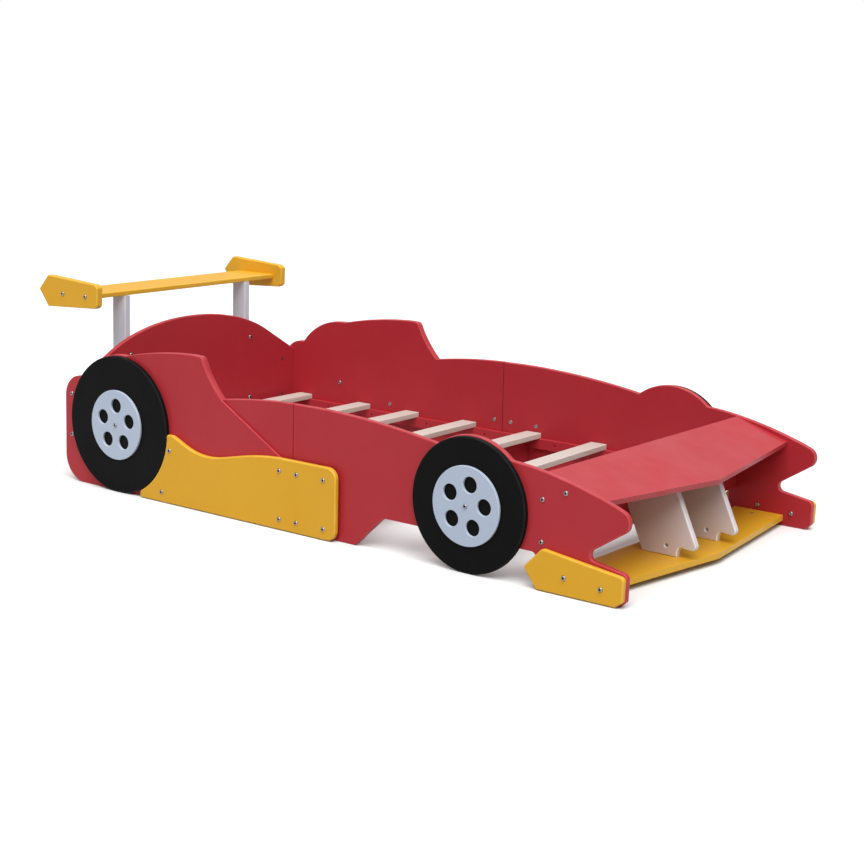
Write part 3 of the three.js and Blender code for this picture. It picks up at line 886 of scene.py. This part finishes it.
@dataclass
class Wheel:
    """Board disc wheel: black tyre disc, pale hub disc with five holes, one bolt."""

    name: str
    turn: float
    hub_radius: float = 82.0
    hole_radius: float = 17.0
    hole_circle: float = 45.5
    hole_count: int = 5
    rim_roll: float = 2.6

    def build(self, side: Side, shop: Workshop) -> None:
        """Make the two discs and the bolt.

        Args:
            side: Side of the bed.
            shop: Finishes and drawing zero.
        """
        wheel = f"{self.name}_{side.label}"
        low, high = shop.extent(f"{wheel}_tyre")
        centre = (low.x + high.x) / 2, (low.z + high.z) / 2
        self._tyre(f"{wheel}_tyre", shop)
        hub = Outline(centre[0] + self.hub_radius, centre[1]).arc(centre, self.hub_radius, 2.5, 357.5)
        holes = tuple(
            (centre[0] + self.hole_circle * math.cos(a), centre[1] + self.hole_circle * math.sin(a),
             self.hole_radius)
            for a in (math.radians(self.turn + 360 / self.hole_count * i) for i in range(self.hole_count))
        )
        Board(f"{wheel}_hub", hub, Lie.ALONG, "silver", 1.1, 3, holes).build(shop)
        through_bolt(f"{wheel}_bolt", side, shop)

    def _tyre(self, node: str, shop: Workshop) -> None:
        """Turn the tyre disc by spinning its half section round the axle.

        Args:
            node: The frame's tyre.
            shop: Finishes and drawing zero.
        """
        low, high = shop.extent(node)
        radius, depth = (high.x - low.x) / 2, high.y - low.y
        bm = bmesh.new()
        corners = ((0.0, 0.0), (radius, 0.0), (radius, depth), (0.0, depth))
        verts = [bm.verts.new((x, 0.0, z)) for x, z in corners]
        edges = [bm.edges.new(pair) for pair in zip(verts, verts[1:])]
        bmesh.ops.spin(bm, geom=verts + edges, cent=(0, 0, 0), axis=(0, 0, 1), angle=math.tau, steps=144,
                       use_merge=True, use_duplicate=False)
        bmesh.ops.remove_doubles(bm, verts=bm.verts[:], dist=0.01)
        bmesh.ops.dissolve_limit(bm, angle_limit=0.01, verts=bm.verts[:], edges=bm.edges[:])
        bmesh.ops.recalc_face_normals(bm, faces=bm.faces[:])
        # The rounded rim is marked to be drawn lighter: partly worn paint, partly a painted highlight.
        wear = bm.faces.layers.float.new(WEAR_AND_PAINTED_LIGHT_LAYER)
        rim = [e for e in bm.edges if e.calc_face_angle(0.0) > 1.0]
        for face in roll_edges(bm, rim, self.rim_roll, 5):
            face[wear] = 1.0
        place = Matrix.Translation(((low.x + high.x) / 2, high.y, (low.z + high.z) / 2))
        place = place @ Matrix.Rotation(math.pi / 2, 4, "X")
        bmesh.ops.transform(bm, matrix=shop.frame() @ place, verts=bm.verts[:])
        finish_piece(bm, f"{node}_disc", "black", shop, node)


def through_bolt(node: str, side: Side, shop: Workshop, far_cap: bool = True) -> None:
    """Replace a frame bolt by a finished one.

    Args:
        node: The frame's bolt.
        side: Side of the bed that its head faces.
        shop: Finishes and drawing zero.
        far_cap: Whether it ends in a cap inside the bed.
    """
    low, high = shop.extent(node)
    inner, outer = sorted((abs(low.y), abs(high.y)))
    shank = outer - inner - HEAD_STEP - (CAP_H if far_cap else 0.0)
    at = shop.point((low.x + high.x) / 2, side.value * (outer - HEAD_STEP), (low.z + high.z) / 2)
    fastener = Fastener(Head.BUTTON, at, Vector((0, side.value, 0)), HEAD_R, 2.8, shank, far_cap)
    fit_fasteners(f"{node}_steel", [fastener], shop, node)


@dataclass
class CarSide:
    """One long side: two red halves, quarter overlay, skirt, nose plate and wheels."""

    side: Side
    tail_x: float = -195.0
    nose_x: float = 1377.0
    seam_x: float = 534.0
    seam_gap: float = 1.0
    roof_z: float = 351.0
    rail_z: float = 280.0
    belly_z: float = 71.0
    rear_radius: float = 161.0
    front_axle: Point = (1010.0, 139.4)
    front_radius: float = 139.4
    arch_gap: float = 1.8
    shoulder_z: float = 258.0
    shoulder_angle: float = 143.5
    screen_foot: Point = (322.0, 261.5)
    skirt_bolts: tuple[Point, ...] = (
        (173, 125), (147, 25), (510, 132), (560, 131), (636, 131), (511, 25), (560, 25), (637, 25))
    panel_bolts: tuple[Point, ...] = ((-172, 212), (-172, 113), (1181, 179), (1181, 94), (1234, 200))

    def _tail(self, outline: Outline) -> Outline:
        """Add the tail, rear fender, roof and windscreen.

        Args:
            outline: Outline that ends at the side's foot.

        Returns:
            The outline, down to the windscreen's foot.
        """
        return (
            outline.line(self.tail_x, 0, 65)
            .line(self.tail_x, self.shoulder_z - 1.5, 52)
            .arc((0.0, self.rear_radius), self.rear_radius + 2.0, self.shoulder_angle, 84.5)
            .curve((24, self.roof_z - 25), (24, self.roof_z - 25), (120, self.roof_z - 2), (232, self.roof_z))
            .line(257, self.roof_z - 0.8, 11)
            .curve((263, 344), (276.3, 314), (296, 286.5), self.screen_foot)
        )

    def rear_half(self) -> Outline:
        """Rear half of the side, up to the seam."""
        right, z = self.seam_x - self.seam_gap, self.rail_z
        return (
            self._tail(Outline(right, 0))
            .curve((323, z - 18.3), (399.7, z - 6.8), (469.9, z - 0.8), (right, z - 0.4))
        )

    def front_half(self) -> Outline:
        """Front half of the side: rail, wheel arch, nose, mouth and lower lip."""
        left, z = self.seam_x + self.seam_gap, self.rail_z
        return (
            Outline(left, 0)
            .line(left, z - 0.4)
            .curve((590, z), (690, z), (810, z - 10), (919, z - 28))
            .arc(self.front_axle, self.front_radius + self.arch_gap, 128.2, 48.4)
            .curve((1107, 243.5), (1180, 238.5), (1259, 221.3), (1345, 192))
            .line(self.nose_x + 28, 168, 23.5)
            .line(1293, 96.3, 12)
            .line(1293, 79.4, 11)
            .line(self.nose_x, 65.5, 13)
            .line(self.nose_x - 2, 13, 3)
            .line(self.nose_x - 16, 0, 3)
            .line(1186, 0, 4)
            .line(1168, 28, 4)
            .line(1168, self.belly_z, 11)
            .line(786, self.belly_z, 14)
            .line(711, 0, 18)
        )

    def overlay(self) -> Outline:
        """Thin quarter board with the tongue that runs on behind the skirt."""
        return (
            self._tail(Outline(655, 0, 8))
            .line(503, 158, 4)
            .line(520, 148, 4)
            .line(655, 148, 8)
        )

    def skirt(self) -> Outline:
        """Yellow skirt: cut round the rear tyre, dipped behind it, level to its front end."""
        return (
            Outline(670, 1.5, 23)
            .line(670, 160, 25)
            .curve((510, 160), (402, 157.5), (345, 129), (292, 129.5))
            .curve((290, 129.5), (237, 130), (207, 152), (184, 159))
            .line(180, 161, 3)
            .line(162.5, 161, 5)
            .arc((0.0, self.rear_radius), self.rear_radius + 2.0, -4, -58)
            .line(77, 17)
            .line(74, 1.5, 5)
        )

    def nose_plate(self) -> Outline:
        """Yellow end plate of the front wing."""
        return (
            Outline(1148, 42, 6)
            .line(1179, 1.5, 4)
            .line(1358, 1.5, 4)
            .line(1374, 14, 4)
            .line(1376, 62, 10)
            .line(1190, 85, 12)
        )

    def build(self, shop: Workshop) -> None:
        """Make the whole side.

        Args:
            shop: Finishes and drawing zero.
        """
        tag = self.side.label
        seam = ((0, self.seam_x - self.seam_gap), (0, self.seam_x + self.seam_gap))
        for node, outline, paint, edge in (
            (f"side_rear_{tag}", self.rear_half(), "red", 2.6),
            (f"side_front_{tag}", self.front_half(), "red", 2.6),
            (f"quarter_overlay_{tag}", self.overlay(), "red", 1.6),
            (f"skirt_{tag}", self.skirt(), "yellow", 3.2),
            (f"front_plate_{tag}", self.nose_plate(), "yellow", 3.0),
        ):
            Board(node, outline, Lie.ALONG, paint, edge, 4, (), seam).build(shop)
        Wheel("rear_wheel", 89.0).build(self.side, shop)
        Wheel("front_wheel", 78.0).build(self.side, shop)
        for index in (1, 2):
            through_bolt(f"plate_bolt_{tag}_{index}", self.side, shop)
        self.fit(shop)

    def fit(self, shop: Workshop) -> None:
        """Add the bolts that hold the skirt and the boards across the bed.

        Args:
            shop: Finishes and drawing zero.
        """
        tag = self.side.label
        _, skirt = self._faces("skirt", shop)
        inner, panel = self._faces("side_rear", shop)
        _, overlay = self._faces("quarter_overlay", shop)
        heads = [self._bolt(p, skirt, Head.BUTTON, shop) for p in self.skirt_bolts]
        fit_fasteners(f"skirt_bolts_{tag}", heads, shop)
        caps = [self._bolt(p, inner, Head.CAP, shop) for p in self.skirt_bolts]
        fit_fasteners(f"skirt_bolt_caps_{tag}", caps, shop)
        heads = [self._bolt(p, overlay if p[0] < 0 else panel, Head.BUTTON, shop) for p in self.panel_bolts]
        fit_fasteners(f"panel_bolts_{tag}", heads, shop)

    def _faces(self, board: str, shop: Workshop) -> Point:
        """Distances of a board's inner and outer face from the middle of the bed.

        Args:
            board: Name of the board without its side.
            shop: Finishes and drawing zero.

        Returns:
            The two distances in millimetres.
        """
        low, high = shop.extent(f"{board}_{self.side.label}")
        inner, outer = sorted((abs(low.y), abs(high.y)))
        return inner, outer

    def _bolt(self, at: Point, out: float, kind: Head, shop: Workshop) -> Fastener:
        """One visible bolt end on this side.

        Args:
            at: Drawing X and Z of the bolt.
            out: Distance of the face that it sits on from the middle of the bed.
            kind: Button head outside, or cap inside.
            shop: Finishes and drawing zero.

        Returns:
            The bolt end.
        """
        place = shop.point(at[0], self.side.value * out, at[1])
        outwards = Vector((0, self.side.value, 0))
        if kind is Head.CAP:
            return Fastener(kind, place, -outwards, 5.0, 1.4)
        return Fastener(kind, place, outwards)


@dataclass
class BedBase:
    """Boards across the bed and the slatted base."""

    half_cross: float = 383.7
    inner_y: float = 384.0
    ledger_low: float = 79.0
    ledger_top: float = 104.0
    ledger_depth: float = 12.0
    cross_low: float = 67.0
    headboard_top: float = 361.5
    headboard_side: float = 236.0
    slat_width: float = 43.0
    slat_half: float = 382.0
    skews: tuple[float, ...] = (0, 0, 0, 1, 0, 2.2, 0, 0)
    pilot_holes: tuple[float, ...] = (-30, 122, 305, 489, 700, 880, 1060)
    pilot_z: float = 92.0
    pilot_r: float = 2.6
    post_bolts: tuple[Point, ...] = tuple((y, z) for y in (-213, 213) for z in (284, 122))
    head_dowels: tuple[Point, ...] = tuple((y, z) for y in (-338, 338) for z in (212, 113))
    foot_dowels: tuple[Point, ...] = tuple((y, z) for y in (-343, 343) for z in (179, 94))
    dowel_sunk: float = 0.3

    def headboard(self) -> Outline:
        """Level shoulders rising in a flattened arch."""
        h, z = self.half_cross, self.headboard_top
        hip = (275.0, self.headboard_side + (h - 275) * 0.585)
        return (
            Outline(-h, self.cross_low)
            .line(h, self.cross_low)
            .line(h, self.headboard_side)
            .curve(hip, (205, hip[1] + 40), (110, z), (0, z))
            .curve((-2, z), (-110, z), (-205, hip[1] + 40), (-hip[0], hip[1]))
            .line(-h, self.headboard_side)
        )

    def brace(self) -> Outline:
        """Middle brace, notched round the ledgers."""
        h, inner, notch = self.half_cross, self.inner_y - self.ledger_depth - 0.6, self.ledger_low - 0.3
        return (
            Outline(-h, 20).line(h, 20).line(h, notch).line(inner, notch).line(inner, self.ledger_top)
            .line(-inner, self.ledger_top).line(-inner, notch).line(-h, notch)
        )

    def build(self, shop: Workshop) -> None:
        """Make the cross boards, ledgers and slats.

        Args:
            shop: Finishes and drawing zero.
        """
        ends = ((0, self.half_cross),)
        top = shop.extent("footboard")[1].z
        foot = rectangle(-self.half_cross, self.cross_low, self.half_cross, top)
        Board("headboard", self.headboard(), Lie.ACROSS, "red", 2.8, 4, (), ends).build(shop)
        Board("footboard", foot, Lie.ACROSS, "red", 2.0, 3, (), ends).build(shop)
        Board("middle_brace", self.brace(), Lie.ACROSS, "red", 1.6, 3, (), ends).build(shop)
        for side in Side:
            for part in ("rear", "front"):
                node = f"ledger_{part}_{side.label}"
                low, high = shop.extent(node)
                bar = rectangle(low.x, self.ledger_low, high.x, self.ledger_top)
                drilled = tuple(
                    (x, self.pilot_z, self.pilot_r) for x in self.pilot_holes if low.x + 10 < x < high.x - 10)
                Board(node, bar, Lie.ALONG, "red", 1.2, 3, drilled).build(shop)
        for index, skew in enumerate(self.skews, 1):
            self._slat(f"slat_{index}", skew, shop)
        self.fit(shop)

    def _slat(self, node: str, skew: float, shop: Workshop) -> None:
        """Lay one slat across the ledgers.

        Args:
            node: The frame's slat.
            skew: Degrees that it lies out of square.
            shop: Finishes and drawing zero.
        """
        low, high = shop.extent(node)
        outline = rectangle(-self.slat_width / 2, -self.slat_half, self.slat_width / 2, self.slat_half, 1.5)
        place = Matrix.Translation(((low.x + high.x) / 2, 0, low.z)) @ Matrix.Rotation(math.radians(skew), 4, "Z")
        Board(node, outline, Lie.FLAT, "pine", 1.8, 3, tilt=place, thickness=high.z - low.z).build(shop)

    def fit(self, shop: Workshop) -> None:
        """Add post bolts and cross dowels.

        Args:
            shop: Finishes and drawing zero.
        """
        head, foot = (shop.extent(node)[1].x for node in ("headboard", "footboard"))
        ahead = Vector((1, 0, 0))
        posts = [Fastener(Head.BUTTON, shop.point(head, *p), ahead) for p in self.post_bolts]
        fit_fasteners("post_bolts", posts, shop)
        dowels = [
            Fastener(Head.DOWEL, shop.point(face - self.dowel_sunk, *p), ahead, 4.8, 0.6)
            for face, points in ((head, self.head_dowels), (foot, self.foot_dowels)) for p in points]
        fit_fasteners("cross_dowels", dowels, shop)


@dataclass
class Nose:
    """Sloping hood over the front wing, held up by two leaning boards."""

    half_cross: float = 383.7
    deck: float = 12.0
    rear_x: float = 1182.0
    rear_z: float = 232.5
    slope: float = 0.311
    hood_side_x: float = 1309.0
    hood_peak_x: float = 1352.0
    wing_rear_x: float = 1188.0
    wing_side_x: float = 1308.0
    wing_peak_x: float = 1357.0
    wing_top: float = 25.0
    wing_screws: tuple[Point, ...] = ((1247, -352), (1247, 352))

    def vee(self, start: float, side_x: float, peak_x: float) -> Outline:
        """Deck with a shallow V front edge.

        Args:
            start: X of the rear edge.
            side_x: Length along the sides.
            peak_x: Length along the middle.

        Returns:
            The outline.
        """
        h = self.half_cross
        return (
            Outline(start, -h, 2).line(start + side_x, -h, 3).line(start + peak_x, 0, 60)
            .line(start + side_x, h, 3).line(start, h, 2)
        )

    def grille(self) -> Outline:
        """Leaning board, cut back over the front of its foot."""
        back = self.rear_x + 5.3

        def roof(x: float) -> float:
            """Height of the hood's underside at an X."""
            return self.rear_z - (x - self.rear_x) * self.slope - self.deck * math.hypot(1, self.slope) - 0.3

        low = self.wing_top + 0.3
        return (
            Outline(1227, low)
            .curve((1308, low), (1308.5, 35), (1309, 45.5), (1318, 46.5))
            .line(1332, 44.5)
            .line(1356, 43.5, 9)
            .line(1292, roof(1292))
            .line(back, roof(back))
            .line(back, low + (1227 - back) / 0.45)
        )

    def build(self, shop: Workshop) -> None:
        """Make hood, wing, grille boards and cleats.

        Args:
            shop: Finishes and drawing zero.
        """
        tilt = math.atan(self.slope)
        run = 1 / math.cos(tilt)
        place = (
            Matrix.Translation((self.rear_x, 0, self.rear_z)) @ Matrix.Rotation(tilt, 4, "Y")
            @ Matrix.Translation((0, 0, -self.deck)))
        hood = self.vee(0.0, (self.hood_side_x - self.rear_x) * run, (self.hood_peak_x - self.rear_x) * run)
        butts = ((1, self.half_cross),)
        Board("hood", hood, Lie.FLAT, "red", 2.2, 4, (), butts, place, self.deck).build(shop)
        wing = self.vee(self.wing_rear_x, self.wing_side_x - self.wing_rear_x, self.wing_peak_x - self.wing_rear_x)
        Board("front_wing", wing, Lie.FLAT, "yellow", 2.2, 4, (), butts).build(shop)
        for side in Side:
            grille = self.grille()
            # The grille boards take the white tinted pink as painted bounce light.
            Board(f"grille_board_{side.label}", grille, Lie.ALONG, "bounce_tinted_white", 2.6, 4, ((1283, 46, 3.8),)).build(
                shop)
            self._cleats(side, place, shop)
        self.fit(shop)

    def _cleats(self, side: Side, place: Matrix, shop: Workshop) -> None:
        """Add the battens that carry the hood and the wing.

        Args:
            side: Side of the bed.
            place: Place of the hood.
            shop: Finishes and drawing zero.
        """
        y0 = -self.half_cross if side is Side.RIGHT else self.half_cross - 20
        bar = rectangle(20, y0, 112, y0 + 20)
        hung = place @ Matrix.Translation((0, 0, -20.3))
        Board(f"hood_cleat_{side.label}", bar, Lie.FLAT, "red", 1.4, 3, (), (), hung, 20.0).build(shop)
        bar = rectangle(self.wing_rear_x + 10, y0, self.wing_side_x - 20, y0 + 20)
        Board(f"wing_cleat_{side.label}", bar, Lie.FLAT, "red", 1.2, 3).build(shop)

    def fit(self, shop: Workshop) -> None:
        """Add the wing's screws.

        Args:
            shop: Finishes and drawing zero.
        """
        screws = [
            Fastener(Head.SCREW, shop.point(x, y, self.wing_top), Vector((0, 0, 1)), 3.8, 0.4)
            for x, y in self.wing_screws]
        fit_fasteners("wing_screws", screws, shop)


@dataclass
class Spoiler:
    """Rear spoiler: blade on two posts, with an arrow-shaped plate on each end."""

    tip: Point = (-367.0, 441.0)

    def plate(self) -> Outline:
        """End plate with its pointed tail."""
        return (
            Outline(*self.tip, 3)
            .line(-334, 400, 4)
            .line(-165, 409, 9)
            .line(-156, 416, 5)
            .line(-155, 460, 7)
            .line(-166, 468, 8)
            .line(-334, 478, 8)
        )

    def build(self, shop: Workshop) -> None:
        """Make the blade, plates, posts and bolts.

        Args:
            shop: Finishes and drawing zero.
        """
        low, high = shop.extent("spoiler_blade")
        blade = rectangle(low.x, low.y, high.x, high.y)
        Board("spoiler_blade", blade, Lie.FLAT, "yellow", 2.6, 4, (), ((1, high.y),)).build(shop)
        for side in Side:
            Board(f"spoiler_plate_{side.label}", self.plate(), Lie.ALONG, "yellow", 3.2, 4).build(shop)
            node = f"spoiler_post_{side.label}"
            low, high = shop.extent(node)
            Board(node, rectangle(low.x, low.z, high.x, high.z), Lie.ALONG, "white", 1.8, 3).build(shop)
            for index in (1, 2):
                through_bolt(f"spoiler_bolt_{side.label}_{index}", side, shop, False)


# --------------------------------------------------------------------------- studio


@dataclass
class Viewpoint:
    """Camera that looks down the bed's right-hand side from the front."""

    location: tuple[float, float, float] = (2.5344, -3.1928, 0.9963)
    azimuth: float = 38.50
    elevation: float = 8.876
    roll: float = 1.155
    focal: float = 1778.64 / 864
    shift: tuple[float, float] = (0.04, -0.10)
    sensor: float = 36.0

    def build(self) -> bpy.types.Object:
        """Make the camera and look through it.

        Returns:
            The camera.
        """
        data = bpy.data.cameras.new("studio_camera")
        data.sensor_width = self.sensor
        data.lens = self.focal * self.sensor
        data.shift_x, data.shift_y = self.shift
        data.clip_start, data.clip_end = 0.05, 200.0
        camera = bpy.data.objects.new("studio_camera", data)
        turn, rise, roll = (math.radians(a) for a in (self.azimuth, self.elevation, self.roll))
        ahead = Vector((-math.sin(turn) * math.cos(rise), math.cos(turn) * math.cos(rise), -math.sin(rise)))
        right = ahead.cross(Vector((0, 0, 1))).normalized()
        up = right.cross(ahead)
        right, up = right * math.cos(roll) + up * math.sin(roll), up * math.cos(roll) - right * math.sin(roll)
        pose = Matrix((right, up, -ahead)).transposed().to_4x4()
        camera.matrix_world = Matrix.Translation(self.location) @ pose
        bpy.context.scene.collection.objects.link(camera)
        bpy.context.scene.camera = camera
        return camera


@dataclass(frozen=True)
class SkyPanel:
    """Very broad, even light from one direction."""

    name: str
    towards: tuple[float, float, float]
    strength: float
    spread: float

    def build(self) -> bpy.types.Object:
        """Make the light.

        Returns:
            The light.
        """
        data = bpy.data.lights.new(self.name, "SUN")
        data.energy, data.angle = self.strength, math.radians(self.spread)
        light = bpy.data.objects.new(self.name, data)
        light.rotation_mode = "QUATERNION"
        light.rotation_quaternion = Vector(self.towards).to_track_quat("-Z", "Y")
        bpy.context.scene.collection.objects.link(light)
        return light


@dataclass
class Studio:
    """Pale floor, soft light and the camera."""

    floor_half: float = 60.0
    zenith: float = 0.42
    horizon: float = 0.16
    panels: tuple[SkyPanel, ...] = (
        SkyPanel("front_panel", (-0.36, 0.50, -1.0), 3.1, 55.0),
        SkyPanel("rear_panel", (0.45, -0.60, -0.9), 0.8, 70.0),
        SkyPanel("low_panel", (-1.0, 0.30, -0.35), 0.15, 60.0),
    )

    def build(self) -> None:
        """Make floor, lights, world and camera."""
        Viewpoint().build()
        for panel in self.panels:
            panel.build()
        bm = bmesh.new()
        bmesh.ops.create_grid(bm, x_segments=2, y_segments=2, size=self.floor_half)
        mesh = bpy.data.meshes.new("studio_floor")
        bm.to_mesh(mesh)
        bm.free()
        floor = bpy.data.objects.new("studio_floor", mesh)
        floor.data.materials.append(StudioFloor().build())
        bpy.context.scene.collection.objects.link(floor)
        self._sky()
        bpy.context.scene.view_settings.view_transform = "Standard"

    def _sky(self) -> None:
        """Soft sky, brighter overhead than at the horizon, on a white backdrop."""
        world = bpy.data.worlds.new("studio_world")
        world.use_nodes = True
        tree = world.node_tree
        background = tree.nodes["Background"]
        background.inputs["Color"].default_value = (1.0, 1.0, 1.0, 1.0)
        coordinates = tree.nodes.new("ShaderNodeTexCoord")
        axes = tree.nodes.new("ShaderNodeSeparateXYZ")
        height = tree.nodes.new("ShaderNodeMapRange")
        height.inputs["To Min"].default_value = self.horizon
        height.inputs["To Max"].default_value = self.zenith
        path = tree.nodes.new("ShaderNodeLightPath")
        seen = tree.nodes.new("ShaderNodeMix")
        seen.inputs["B"].default_value = 1.0
        tree.links.new(coordinates.outputs["Generated"], axes.inputs[0])
        tree.links.new(axes.outputs["Z"], height.inputs["Value"])
        tree.links.new(path.outputs["Is Camera Ray"], seen.inputs["Factor"])
        tree.links.new(height.outputs[0], seen.inputs["A"])
        tree.links.new(seen.outputs[0], background.inputs["Strength"])
        bpy.context.scene.world = world


def main() -> None:
    """Build the bed and its studio in order."""
    logging.basicConfig(level=logging.INFO, format="%(name)s: %(message)s")
    Studio().build()
    shop = Workshop()
    for side in Side:
        CarSide(side).build(shop)
    BedBase().build(shop)
    Nose().build(shop)
    Spoiler().build(shop)


if __name__ == "__main__":
    main()
